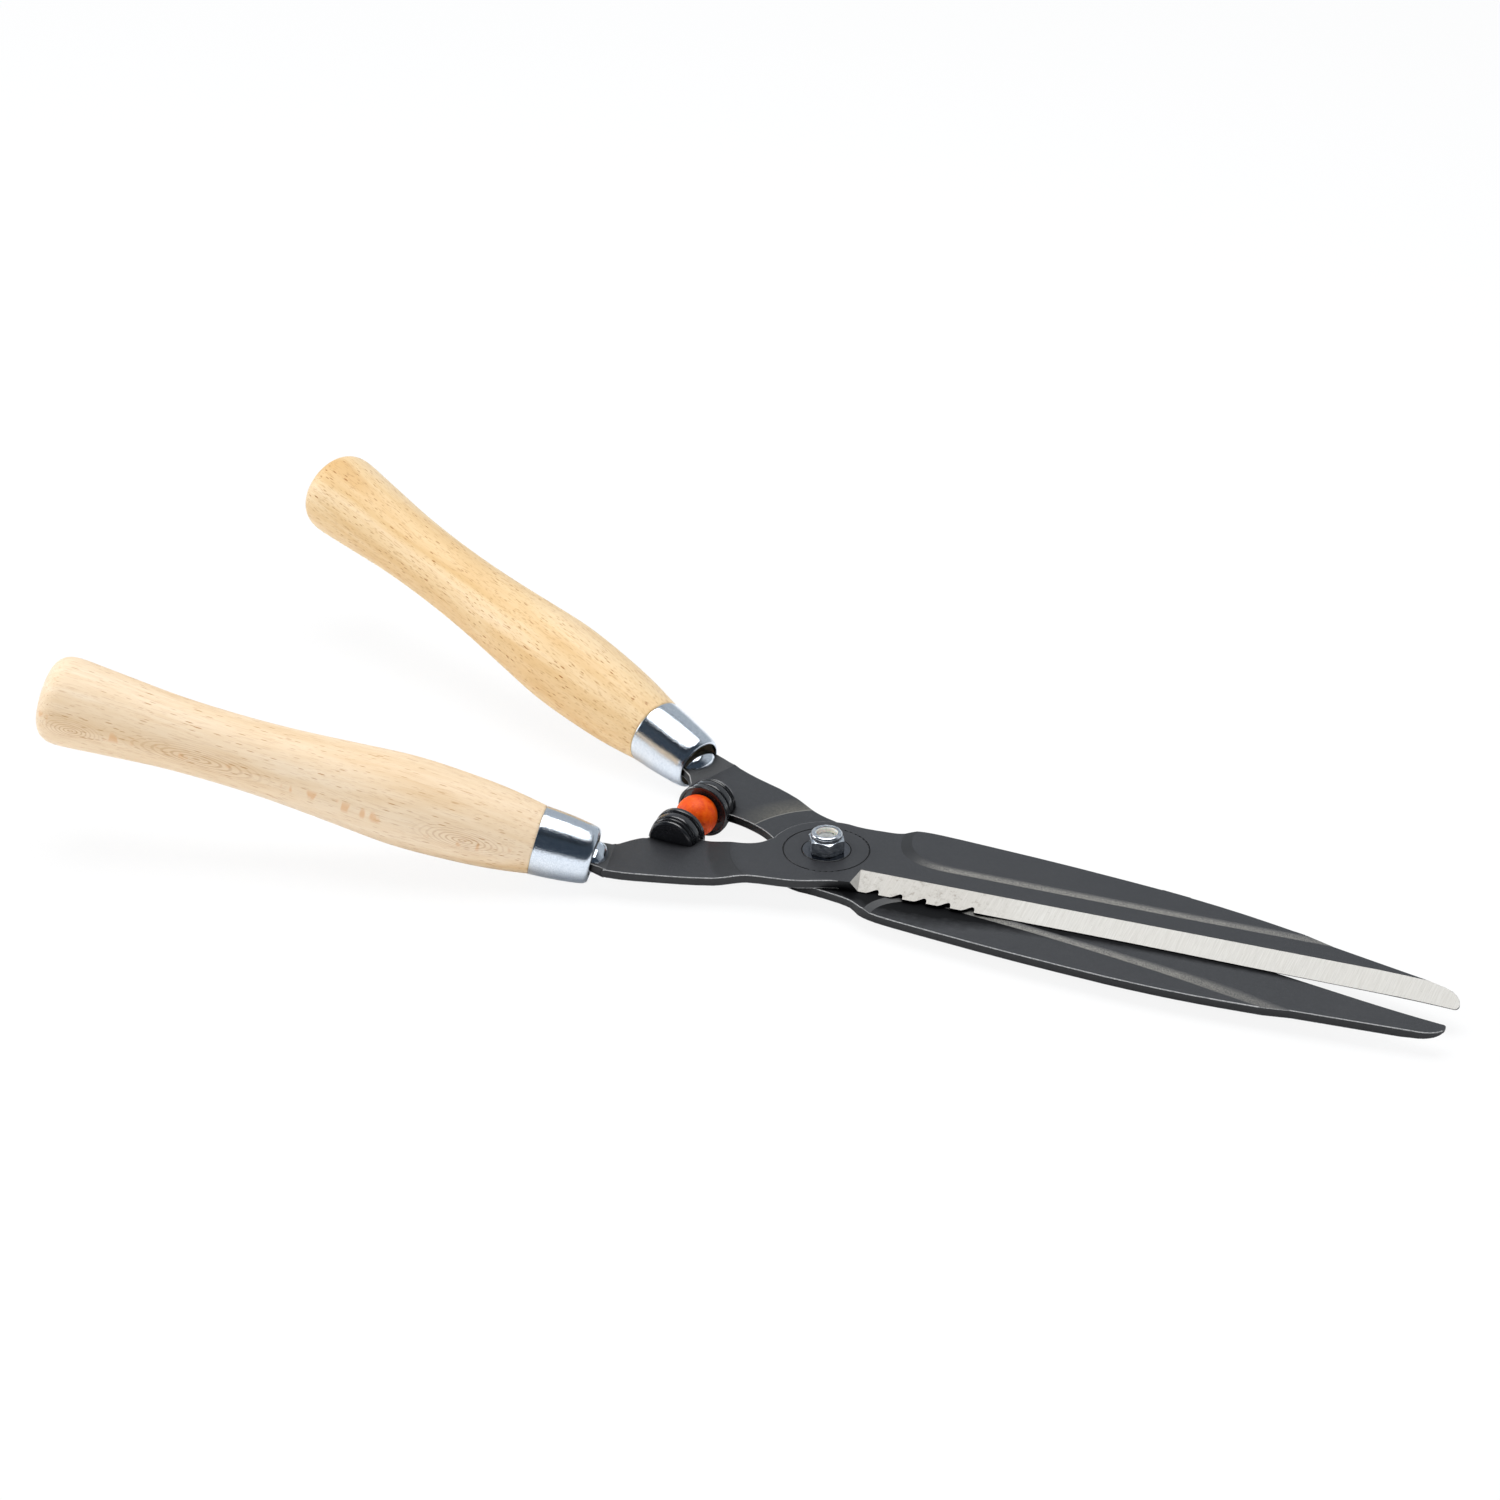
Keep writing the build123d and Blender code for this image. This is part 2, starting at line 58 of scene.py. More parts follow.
def srgb(*channels):
    """0-255 display colour to linear."""
    unit = [c / 255 for c in channels]
    return tuple(c / 12.92 if c <= 0.04045 else ((c + 0.055) / 1.055) ** 2.4 for c in unit)


class Graph:
    """Short forms for building the node tree of a material or world."""

    def __init__(self, block):
        block.use_nodes = True
        self.block = block
        self.tree = block.node_tree
        self.tree.nodes.clear()

    def feed(self, socket, value):
        """Link an output to the socket, or set the socket's own value."""
        if isinstance(value, bpy.types.NodeSocket):
            self.tree.links.new(value, socket)
        else:
            socket.default_value = (*value, 1.0) if socket.type == "RGBA" else value

    def add(self, kind, inputs=None, **settings):
        node = self.tree.nodes.new("ShaderNode" + kind)
        for name, value in settings.items():
            setattr(node, name, value)
        for key, value in (inputs or {}).items():
            self.feed(node.inputs[key], value)
        return node

    def math(self, operation, *values, clamp=False):
        inputs = dict(enumerate(values))
        return self.add("Math", inputs, operation=operation, use_clamp=clamp).outputs[0]

    def plus(self, a, b):
        return self.math("ADD", a, b)

    def minus(self, a, b, clamp=False):
        return self.math("SUBTRACT", a, b, clamp=clamp)

    def times(self, *factors):
        return reduce(lambda a, b: self.math("MULTIPLY", a, b), factors)

    def over(self, a, b):
        return self.math("DIVIDE", a, b)

    def above(self, value, limit):
        return self.math("GREATER_THAN", value, limit)

    def below(self, value, limit):
        return self.math("LESS_THAN", value, limit)

    def split(self, vector):
        return self.add("SeparateXYZ", {0: vector}).outputs

    def ramp(self, value, *stops, interpolation="LINEAR"):
        """Stops are (position, grey level or colour)."""
        node = self.add("ValToRGB", {0: value})
        node.color_ramp.interpolation = interpolation
        elements = node.color_ramp.elements
        while len(elements) < len(stops):
            elements.new(0.5)
        for element, (position, colour) in zip(elements, stops):
            element.position = position
            element.color = (*colour, 1) if isinstance(colour, tuple) else (*[colour] * 3, 1)
        return node.outputs[0]

    def mix(self, amount, under, over, mode="MIX"):
        inputs = {0: amount, 6: under, 7: over}
        return self.add("Mix", inputs, data_type="RGBA", blend_type=mode).outputs[2]


class Material(Graph):
    """A principled material."""

    def __init__(self, name):
        super().__init__(bpy.data.materials.new(name))
        self.output = self.add("OutputMaterial")
        self.shader = self.add("BsdfPrincipled")
        self.feed(self.output.inputs[0], self.shader.outputs[0])

    def set(self, **values):
        for name, value in values.items():
            self.feed(self.shader.inputs[name.replace("_", " ")], value)

    def coord(self, scale=(1, 1, 1), attribute=None, turn=(0, 0, 0), shift=(0, 0, 0)):
        """Object coordinates, or a vector attribute, through a mapping."""
        if attribute:
            source = self.add("Attribute", attribute_name=attribute).outputs["Vector"]
        else:
            source = self.add("TexCoord").outputs["Object"]
        inputs = {"Location": shift, "Rotation": turn, "Scale": scale, "Vector": source}
        return self.add("Mapping", inputs).outputs[0]

    def noise(self, at, scale, detail=2.0, rough=0.5, distortion=0.0):
        inputs = {"Scale": scale, "Detail": detail, "Roughness": rough,
                  "Distortion": distortion, "Vector": at}
        return self.add("TexNoise", inputs).outputs["Fac"]

    def rings(self, at, direction, **inputs):
        node = self.add("TexWave", {"Vector": at}, wave_type="RINGS", rings_direction=direction)
        for name, value in inputs.items():
            self.feed(node.inputs[name.replace("_", " ")], value)
        return node.outputs["Fac"]

    def bump(self, height, strength, distance=0.0001):
        inputs = {"Strength": strength, "Distance": distance, "Height": height}
        self.set(Normal=self.add("Bump", inputs).outputs[0])


# ---------------------------------------------------------------- coated steel

PER_BLADE = 4.0          # x times this puts 250 mm of blade on a 0-1 ramp
CREASE_RADIUS = 0.0381   # the arm's crease, from the pivot axis
CREASE_X = -0.012        # the crease shows only on the handle side of this
WORN_AMOUNT = 0.80
# patch beyond the crease on the lower plate: worn coating and painted light on the arm's ramp
RUBBED_AND_LIT = {"reach": 0.049, "fade": 95.0, "amount": 0.70}   # outer radius, fade per metre, strength
LINE_HALF_WIDTH = 0.00026
SHADE = {"fade": 260.0, "amount": 0.40}                   # soft painted shade beside the painted shade line
# painted shadow of the upper blade on the lower plate
BLADE_SHADOW = {"reach": 0.018, "unevenness": 0.26, "amount": 0.94, "shadow_specular_cut": 0.85}
EDGE_SPAN = (0.04, 0.03)     # edge ramp to y in metres: level * first - second


def worn_foot(m, colour, x, z, span):
    """Bare metal rubbed along the foot of a face sloping between the two heights (mm)."""
    low, high = span
    height = m.over(m.minus(z, low * MM), (high - low) * MM)
    band = m.ramp(height, (0.0, 0.35), (0.12, 1.0), (0.55, 0.85), (0.95, 0.0))
    along = m.ramp(m.times(x, PER_BLADE), (0.135, 0.0), (0.20, 1.0), (0.62, 0.9), (0.84, 0.35))
    speckle = m.noise(m.coord((2, 1, 1)), scale=1500, detail=4, rough=0.9)
    wear = m.times(band, along, m.ramp(speckle, (0.43, 0.12), (0.57, 1.0)))
    return m.mix(m.times(wear, WORN_AMOUNT), colour, srgb(150, 147, 138))


def crease_mark(m, colour, at, x, y, rubbed):
    """The arm's crease: a painted highlight line beyond a patch of worn coating and painted
    light, or a painted shade line with soft painted shade beside it.
    """
    radius = m.math("SQRT", m.plus(m.times(x, x), m.times(y, y)))
    on_arm = m.below(x, CREASE_X)
    if rubbed:
        # worn coating and painted light on the ramp beyond the crease
        outer = m.math("MULTIPLY", m.minus(RUBBED_AND_LIT["reach"], radius), RUBBED_AND_LIT["fade"], clamp=True)
        inner = m.above(radius, CREASE_RADIUS)
        speckle = m.noise(at, scale=1000, detail=4, rough=0.8)
        per_width = 20.0     # 50 mm of y on the ramp
        across = m.ramp(m.times(y, per_width), (0.20, 0.30), (0.5, 1.0))
        patch = m.times(on_arm, m.ramp(speckle, (0.38, 0.35), (0.62, 1.0)))
        wear = m.times(m.times(inner, outer), patch)
        colour = m.mix(m.times(wear, across, RUBBED_AND_LIT["amount"]), colour, srgb(112, 108, 96))
    distance = m.math("ABSOLUTE", m.minus(radius, CREASE_RADIUS))
    line = m.times(m.below(distance, LINE_HALF_WIDTH), on_arm)
    # painted highlight line on the lower plate's crease, painted shade line on the upper plate's
    amount, line_colour = (0.6, srgb(140, 138, 132)) if rubbed else (0.9, srgb(8, 8, 9))
    colour = m.mix(m.times(line, amount), colour, line_colour)
    # painted shade beside the upper plate's crease line
    if not rubbed:
        shade = m.times(m.minus(1.0, m.times(distance, SHADE["fade"]), clamp=True), on_arm)
        colour = m.mix(m.times(shade, SHADE["amount"]), colour, srgb(18, 18, 20))
    return colour


def painted_blade_shadow(m, x, y, normal_z):
    """Mask of the painted shadow that the upper blade casts on the lower, widest near the heel.
    """
    along = m.times(x, PER_BLADE)
    edge = m.ramp(along, (0.086, 0.290), (0.134, 0.3305), (0.197, 0.381), (0.394, 0.525),
                  (0.591, 0.655), (0.788, 0.7705), (0.926, 0.858))
    width = m.ramp(along, (0.0, 0.25), (0.06, 0.40), (0.12, 0.95), (0.22, 0.92), (0.32, 0.50),
                   (0.48, 0.28), (0.9, 0.16))
    reach = m.times(width, BLADE_SHADOW["reach"])
    outside = m.minus(m.minus(m.times(edge, EDGE_SPAN[0]), EDGE_SPAN[1]), y)
    # centre the profile on the ramp, then make it uneven
    shadow = m.plus(m.times(m.over(outside, reach), 0.5), 0.25)
    patches = m.noise(m.coord((0.6, 1, 1)), scale=420, detail=4, rough=0.65)
    shadow = m.plus(shadow, m.times(m.minus(patches, 0.5), BLADE_SHADOW["unevenness"]))
    shadow = m.ramp(shadow, (0.02, 0.0), (0.18, 1.0), (0.44, 1.0), (0.76, 0.0))
    upward_blade = m.times(m.above(normal_z, 0.2), m.above(x, 0.004))
    return m.times(shadow, upward_blade)


def coated_steel(name, tone=1.0, worn_span=None, crease=None):
    """Satin dark coating. crease is None, "line" or "rubbed". "line" paints a shade line with
    soft shade at the arm's crease. "rubbed" paints a highlight line there, worn coating with
    painted light beyond it, and the painted shadow of the upper blade.
    """
    def toned(*channels):
        return srgb(*[c * tone for c in channels])

    m = Material(name)
    at = m.coord()
    fine = m.noise(at, scale=2600, detail=3, rough=0.6)
    streak = m.noise(m.coord((1, 6, 6)), scale=180, detail=3, rough=0.55)
    cloud = m.noise(at, scale=38, detail=4, rough=0.6)
    dots = m.noise(at, scale=5200, detail=1, rough=0.5)
    colour = m.ramp(fine, (0.3, toned(22, 23, 26)), (0.7, toned(42, 43, 47)))
    colour = m.mix(m.times(cloud, 0.4), colour, toned(44, 44, 47))
    colour = m.mix(m.ramp(streak, (0.55, 0.0), (0.8, 0.2)), colour, toned(64, 64, 66))
    colour = m.mix(m.ramp(dots, (0.60, 0.0), (0.72, 0.35)), colour, toned(104, 104, 106))
    # painted shade: faces turned to -x go darker; painted highlight: upward faces leaning to +x a
    # little lighter
    normal_x, _, normal_z = m.split(m.add("TexCoord").outputs["Normal"])
    shade_on_handle_facing = m.ramp(m.times(normal_x, -1.0), (0.05, 0.0), (0.14, 0.75))
    colour = m.mix(shade_on_handle_facing, colour, srgb(8, 8, 9))
    highlight_on_tip_facing = m.ramp(m.times(normal_x, m.above(normal_z, 0.5)), (0.05, 0.0), (0.14, 0.14))
    colour = m.mix(highlight_on_tip_facing, colour, srgb(110, 110, 108))

    x, y, z = m.split(at) if worn_span or crease else (None,) * 3
    if worn_span:
        colour = worn_foot(m, colour, x, z, worn_span)
    if crease:
        colour = crease_mark(m, colour, at, x, y, rubbed=crease == "rubbed")
    # painted shade: where ambient occlusion finds nearby surfaces, the colour goes near black and
    # the specular fades
    occlusion = m.add("AmbientOcclusion", {"Distance": 0.016}, samples=8)
    open_air = m.ramp(occlusion.outputs["AO"], (0.50, 0.0), (0.90, 1.0))
    colour = m.mix(open_air, srgb(6, 6, 7), colour)
    # painted shadow of the upper blade: near black, with the specular cut under it
    if crease == "rubbed":
        shadow = painted_blade_shadow(m, x, y, normal_z)
        colour = m.mix(m.times(shadow, BLADE_SHADOW["amount"]), colour, srgb(4, 4, 5))
        open_air = m.times(open_air, m.minus(1.0, m.times(shadow, BLADE_SHADOW["shadow_specular_cut"])))
    m.set(Base_Color=colour, Metallic=0.0, Roughness=m.ramp(cloud, (0.3, 0.36), (0.7, 0.46)),
          IOR=1.5, Specular_IOR_Level=m.times(open_air, 0.5))
    m.bump(m.plus(fine, m.times(dots, 0.5)), strength=0.22)
    return m.block


# ---------------------------------------------------------------- other metals

def edge_highlight_steel(name):
    """Painted highlight on the broken edges: pale speckled steel."""
    m = Material(name)
    speckle = m.noise(m.coord(), scale=1500, detail=4, rough=0.8)
    m.set(Base_Color=m.ramp(speckle, (0.34, srgb(96, 96, 98)), (0.60, srgb(178, 178, 177))),
          Metallic=0.25, Roughness=m.ramp(speckle, (0.3, 0.35), (0.7, 0.5)))
    m.bump(speckle, strength=0.15)
    return m.block


def ground_steel(name):
    """Bright cutting bevel with fine grinding lines across the blade, stained near the heel."""
    m = Material(name)
    lines = m.noise(m.coord((1, 0.03, 0.03)), scale=3800, detail=3, rough=0.65)
    broad = m.noise(m.coord((1, 0.12, 0.12)), scale=260, detail=3, rough=0.6)
    x = m.split(m.coord())[0]
    stain = m.noise(m.coord(), scale=300, detail=5, rough=0.8)
    pits = m.noise(m.coord(), scale=1300, detail=2, rough=0.5)
    heel = m.ramp(m.times(x, PER_BLADE), (0.06, 0.6), (0.16, 1.0), (0.26, 0.9), (0.36, 0.0))
    colour = m.ramp(lines, (0.25, srgb(170, 167, 161)), (0.75, srgb(200, 198, 193)))
    colour = m.mix(m.ramp(broad, (0.45, 0.0), (0.7, 0.16)), colour, srgb(184, 179, 171))
    colour = m.mix(m.times(heel, 0.35), colour, srgb(160, 154, 145))
    heel_stain = m.times(m.ramp(stain, (0.52, 0.0), (0.66, 0.7)), heel)
    colour = m.mix(heel_stain, colour, srgb(124, 116, 106))
    colour = m.mix(m.ramp(pits, (0.72, 0.0), (0.76, 0.5)), colour, srgb(120, 114, 106))
    m.set(Base_Color=colour, Metallic=0.25, Roughness=m.ramp(lines, (0.2, 0.46), (0.8, 0.58)))
    m.bump(lines, strength=0.12)
    return m.block


def chrome(name, mottle):
    """Mirror plating; mottle is the bump strength."""
    m = Material(name)
    at = m.coord()
    speckle = m.noise(at, scale=2400, detail=4, rough=0.7)
    waves = m.noise(at, scale=110, detail=2, rough=0.5)
    pores = m.noise(at, scale=1900, detail=3, rough=0.7)
    m.set(Base_Color=m.ramp(speckle, (0.35, srgb(186, 196, 207)), (0.6, srgb(226, 232, 239))),
          Metallic=1.0, Roughness=m.ramp(pores, (0.42, 0.07), (0.62, 0.24)))
    m.bump(m.plus(m.times(pores, 1.4), m.times(waves, 1.2)), strength=mottle)
    return m.block


def zinc(name, dark, light):
    m = Material(name)
    speckle = m.noise(m.coord(), scale=650, detail=3, rough=0.6)
    m.set(Base_Color=m.ramp(speckle, (0.35, dark), (0.65, light)), Metallic=0.9,
          Roughness=m.ramp(speckle, (0.35, 0.07), (0.65, 0.17)))
    m.bump(speckle, strength=0.06, distance=0.00012)
    return m.block


def dark_polish(name):
    """Smooth blackened washer that mirrors the nut."""
    m = Material(name)
    speckle = m.noise(m.coord(), scale=1400, detail=3, rough=0.6)
    m.set(Base_Color=m.ramp(speckle, (0.3, srgb(84, 86, 91)), (0.7, srgb(106, 108, 113))),
          Metallic=1.0, Roughness=m.ramp(speckle, (0.3, 0.03), (0.7, 0.07)))
    return m.block


# ---------------------------------------------------------------- plastics and rubber

def nylon(name):
    m = Material(name)
    speckle = m.noise(m.coord(), scale=900, detail=3, rough=0.6)
    m.set(Base_Color=m.ramp(speckle, (0.3, srgb(205, 203, 196)), (0.7, srgb(232, 230, 222))),
          Roughness=0.38, Subsurface_Weight=0.25, Subsurface_Scale=0.001)
    m.bump(speckle, strength=0.1)
    return m.block


def black_moulding(name):
    m = Material(name)
    at = m.coord()
    speckle = m.noise(at, scale=1600, detail=3, rough=0.6)
    waves = m.noise(at, scale=160, detail=3, rough=0.5)
    m.set(Base_Color=m.ramp(speckle, (0.3, srgb(14, 14, 16)), (0.7, srgb(28, 29, 32))),
          Roughness=m.ramp(waves, (0.3, 0.14), (0.7, 0.30)), Specular_IOR_Level=0.8)
    m.bump(m.plus(m.times(speckle, 0.15), waves), strength=0.35, distance=0.0003)
    return m.block


def rubber(name):
    """Mottled orange with pale dots."""
    m = Material(name)
    at = m.coord()
    mottle = m.noise(at, scale=420, detail=5, rough=0.65)
    dots = m.noise(at, scale=2200, detail=2, rough=0.5)
    colour = m.ramp(mottle, (0.3, srgb(210, 58, 0)), (0.5, srgb(232, 80, 0)),
                    (0.72, srgb(240, 104, 8)))
    colour = m.mix(m.ramp(dots, (0.66, 0.0), (0.74, 0.4)), colour, srgb(246, 160, 116))
    m.set(Base_Color=colour, Roughness=m.ramp(mottle, (0.3, 0.42), (0.7, 0.56)),
          Subsurface_Weight=0.05, Subsurface_Scale=0.001, Specular_IOR_Level=0.28)
    m.bump(m.plus(mottle, m.times(dots, 0.3)), strength=0.25, distance=0.0002)
    return m.block


# ---------------------------------------------------------------- beech

# "loc" holds handle coordinates in metres: x along, y across, z up from the axis
# arc groups on the outer side: centre, stretch along the grain
ARC_GROUPS = [((0.019, 0.0172, 0.0005), 0.28), ((0.178, 0.0172, -0.002), 0.42),
              ((0.128, 0.0138, 0.0), 0.18)]
ARC_FADE = 150.0             # per metre from the centre
# ray flecks: cell size (m), stretch along the grain, radius in cells, strength
RAY_FLECKS = [(0.00108, 0.24, 0.21, 0.85), (0.0020, 0.27, 0.15, 1.0)]


def oval_row(m, colour):
    """A row of darker ovals along the outer side, where the grain runs out."""
    _, y, z = m.split(m.coord(attribute="loc"))
    off_centre = m.times(m.plus(m.math("ARCTAN2", z, y), 0.02), 6.0)
    band = m.minus(1.0, m.times(off_centre, off_centre), clamp=True)
    row = m.noise(m.coord((1, 0.5, 0.5), attribute="loc", shift=(0.003, 0, 0)), scale=150)
    ovals = m.times(band, m.ramp(row, (0.58, 0.0), (0.64, 0.7)))
    return m.mix(ovals, colour, srgb(222, 172, 122))


def arc_group(m, colour, dash, centre, stretch):
    """Concentric long arcs round one point."""
    x, y, z = centre
    at = m.coord((stretch, 1, 1), attribute="loc", shift=(-x * stretch, -y, -z))
    arcs = m.rings(at, "SPHERICAL", Scale=420, Distortion=1.6)
    distance = m.add("VectorMath", {0: at}, operation="LENGTH").outputs["Value"]
    fade = m.minus(1.0, m.times(distance, ARC_FADE), clamp=True)
    lines = m.ramp(arcs, (0.55, 0.0), (0.95, 1.0))
    return m.mix(m.times(lines, fade, 0.60), colour, dash)


def beech(name, light, mid, deep, dash, dashes, seed, tilt, figured):
    """Varnished beech. dashes rows: noise scale, stretch, threshold, strength.

    figured wood has shorter, fainter ray flecks, plus the ovals and arcs.
    """
    m = Material(name)

    def along_grain(stretch):
        return m.coord((stretch, 1, 1), attribute="loc", turn=(0, 0, tilt),
                       shift=(seed, seed * 0.37, seed * 0.71))

    grain = m.noise(along_grain(0.08), scale=620, detail=5, rough=0.65, distortion=0.3)
    broad = m.noise(along_grain(0.12), scale=70, detail=3, rough=0.5, distortion=0.6)
    colour = m.ramp(broad, (0.32, light), (0.55, mid), (0.75, deep))
    colour = m.mix(m.times(m.ramp(grain, (0.4, 0.0), (0.7, 1.0)), 0.35), colour, deep)

    # growth rings, cut obliquely by the turned surface
    ring_at = m.coord((0.10, 1, 1), attribute="loc", turn=(0, 0.02, tilt),
                      shift=(0.0, 0.011, -0.013))
    growth = m.rings(ring_at, "X", Scale=130, Distortion=2.0, Detail=2, Detail_Scale=0.6)
    colour = m.mix(m.times(m.ramp(growth, (0.35, 0.0), (0.9, 1.0)), 0.12), colour, deep)

    # fine short dashes
    marks = []
    for scale, stretch, threshold, strength in dashes:
        streaks = m.noise(along_grain(stretch), scale=scale, detail=0.0)
        clumps = m.noise(along_grain(0.2), scale=120)
        level = m.plus(streaks, m.times(m.minus(clumps, 0.5), 0.09))
        level = m.ramp(level, (threshold + 0.015, 0.0), (threshold + 0.045, 1.0))
        marks.append(m.times(level, strength * 0.30))
        colour = m.mix(marks[-1], colour, dash)

    # ray flecks: separate short spindles, in loose groups
    groups = m.ramp(m.noise(along_grain(0.2), scale=110), (0.35, 0.35), (0.6, 1.0))
    length_factor, fleck_strength = (0.5, 0.78) if figured else (0.72, 1.0)
    for cell, stretch, radius, strength in RAY_FLECKS:
        inputs = {"Scale": 1.0 / cell, "Randomness": 1.0,
                  "Vector": along_grain(stretch * length_factor)}
        cells = m.add("TexVoronoi", inputs, feature="F1").outputs["Distance"]
        spindle = m.ramp(cells, (radius * 0.6, 1.0), (radius, 0.0))
        marks.append(m.times(spindle, m.times(groups, strength * fleck_strength)))
        colour = m.mix(marks[-1], colour, dash)

    if figured:
        colour = oval_row(m, colour)
        for centre, stretch in ARC_GROUPS:
            colour = arc_group(m, colour, dash, centre, stretch)
    m.set(Base_Color=colour, Roughness=m.ramp(grain, (0.3, 0.40), (0.7, 0.50)),
          Coat_Weight=0.03, Coat_Roughness=0.3, Specular_IOR_Level=0.22)
    all_marks = reduce(lambda a, b: m.math("MAXIMUM", a, b), marks)
    m.bump(m.minus(grain, m.times(all_marks, 0.5)), strength=0.10, distance=0.00015)
    return m.block


UPPER_FACE = MATE_Z + HALF_GAP
LOWER_FACE = MATE_Z - HALF_GAP
MAT = {
    "coat": coated_steel("coated_steel", crease="line"),
    "coat_low": coated_steel("coated_steel_lower", crease="rubbed"),
    # painted shade: the plates' side faces get a darker copy of the coating
    "side": coated_steel("coated_steel_side_shaded", tone=0.55),
    "edge": edge_highlight_steel("painted_edge_highlight"),
    "worn_up": coated_steel("rubbed_steel_upper", worn_span=(UPPER_FACE + 3.6, UPPER_FACE + 4.4)),
    "worn_low": coated_steel("rubbed_steel_lower", worn_span=(LOWER_FACE - 0.8, LOWER_FACE)),
    "ground": ground_steel("ground_steel"),
    "chrome": chrome("chrome_plate", mottle=0.34),
    "dome": chrome("chrome_dome", mottle=0.04),
    "zinc": zinc("zinc_plate", dark=srgb(160, 167, 176), light=srgb(222, 226, 231)),
    "zinc_warm": zinc("zinc_bolt_end", dark=srgb(205, 203, 196), light=srgb(240, 238, 230)),
    "washer": dark_polish("washer_polish"),
    "nylon": nylon("nylon_ring"),
    "black": black_moulding("black_moulding"),
    "rubber": rubber("orange_rubber"),
    "beech_right": beech(
        "beech_right", light=srgb(240, 221, 195), mid=srgb(236, 212, 180),
        deep=srgb(220, 187, 143), dash=srgb(182, 130, 78),
        dashes=[(2600, 0.08, 0.660, 0.60), (2000, 0.05, 0.680, 0.55)],
        seed=0.31, tilt=0.03, figured=True),
    "beech_left": beech(
        "beech_left", light=srgb(238, 215, 180), mid=srgb(232, 204, 160),
        deep=srgb(216, 178, 124), dash=srgb(160, 98, 34),
        dashes=[(2300, 0.12, 0.665, 0.95), (3000, 0.09, 0.660, 0.70)],
        seed=1.73, tilt=-0.06, figured=False),
}


# ---------------------------------------------------------------- geometry helpers

def new_object(name, mesh, materials):
    obj = bpy.data.objects.new(name, mesh)
    bpy.context.scene.collection.objects.link(obj)
    for material in materials:
        mesh.materials.append(material)
    return obj


def stand_in(name, mesh, materials, node, body):
    """An object that takes the place of a CAD piece and moves with a body."""
    obj = new_object(name, mesh, materials)
    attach(obj, body)
    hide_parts(node)
    return obj


def mesh_from(bm, name):
    mesh = bpy.data.meshes.new(name)
    bm.to_mesh(mesh)
    bm.free()
    return mesh


def spline(points, count):
    """Natural cubic spline by chord length, sampled evenly."""
    p = np.array(points, float)
    knots = np.r_[0, np.cumsum(np.linalg.norm(np.diff(p, axis=0), axis=1))]
    step = np.diff(knots)
    last = len(p) - 1
    system = np.zeros((last + 1, last + 1))
    target = np.zeros((last + 1, 2))
    system[0, 0] = system[-1, -1] = 1
    for i in range(1, last):
        system[i, i - 1:i + 2] = [step[i - 1], 2 * (step[i - 1] + step[i]), step[i]]
        target[i] = 6 * ((p[i + 1] - p[i]) / step[i] - (p[i] - p[i - 1]) / step[i - 1])
    curve = np.linalg.solve(system, target)     # second derivatives at the knots
    u = np.linspace(0, knots[-1], count)
    j = np.clip(np.searchsorted(knots, u, side="right") - 1, 0, last - 1)
    to_next = (knots[j + 1] - u)[:, None]
    from_last = (u - knots[j])[:, None]
    h = step[j][:, None]
    cubic = (curve[j] * to_next ** 3 + curve[j + 1] * from_last ** 3) / (6 * h)
    return (cubic + (p[j] / h - curve[j] * h / 6) * to_next
            + (p[j + 1] / h - curve[j + 1] * h / 6) * from_last)


def lathe(name, profile, segments, place, closed):
    """Solid of revolution from (station, radius) in mm; points on the axis become poles.

    place(station, x, y) gives part frame mm; "loc" keeps the handle coordinates in metres.
    """
    bm = bmesh.new()
    layer = bm.verts.layers.float_vector.new("loc")

    def vertex(*local):
        vert = bm.verts.new(Vector(place(*local)) * MM)
        vert[layer] = Vector(local) * MM
        return vert

    rings = []
    for station, radius in profile:
        if radius < 1e-6:
            rings.append([vertex(station, 0, 0)] * segments)
            continue
        angles = [2 * math.pi * i / segments for i in range(segments)]
        rings.append([vertex(station, radius * math.cos(a), radius * math.sin(a))
                      for a in angles])
    pairs = list(zip(rings, rings[1:]))
    if closed:
        pairs.append((rings[-1], rings[0]))
    for near, far in pairs:
        for i in range(segments):
            j = (i + 1) % segments
            corners = list(dict.fromkeys((near[i], near[j], far[j], far[i])))
            if len(corners) >= 3:
                bm.faces.new(corners)
    bmesh.ops.recalc_face_normals(bm, faces=bm.faces)
    for face in bm.faces:
        face.smooth = True
    return mesh_from(bm, name)


def half_place(point, side):
    """Shut frame of the right half (mm above the mating plane) to part frame (mm)."""
    sign = SIDES[side]
    x, y, z = point
    y *= sign
    turn = HALF_TURN * sign
    return (x * math.cos(turn) - y * math.sin(turn), x * math.sin(turn) + y * math.cos(turn),
            z + MATE_Z + HALF_GAP * sign)


def unplace(point, side):
    """Part frame (m) to shut frame of the right half (mm)."""
    sign = SIDES[side]
    turn = -HALF_TURN * sign
    x, y = point[0] / MM, point[1] / MM
    return (x * math.cos(turn) - y * math.sin(turn),
            (x * math.sin(turn) + y * math.cos(turn)) * sign,
            point[2] / MM - MATE_Z - HALF_GAP * sign)


# ---------------------------------------------------------------- handles

# handle frame in the shut right half: origin and unit axes
RISE = math.radians(13.0)
SPREAD = math.radians(15.61)
START = np.array([-110.39, -49.33, 8.47])
ALONG = np.array([-math.cos(SPREAD) * math.cos(RISE), -math.sin(SPREAD) * math.cos(RISE),
                  math.sin(RISE)])
ACROSS = np.array([math.sin(SPREAD), -math.cos(SPREAD), 0.0])
UP = np.cross(ALONG, ACROSS)

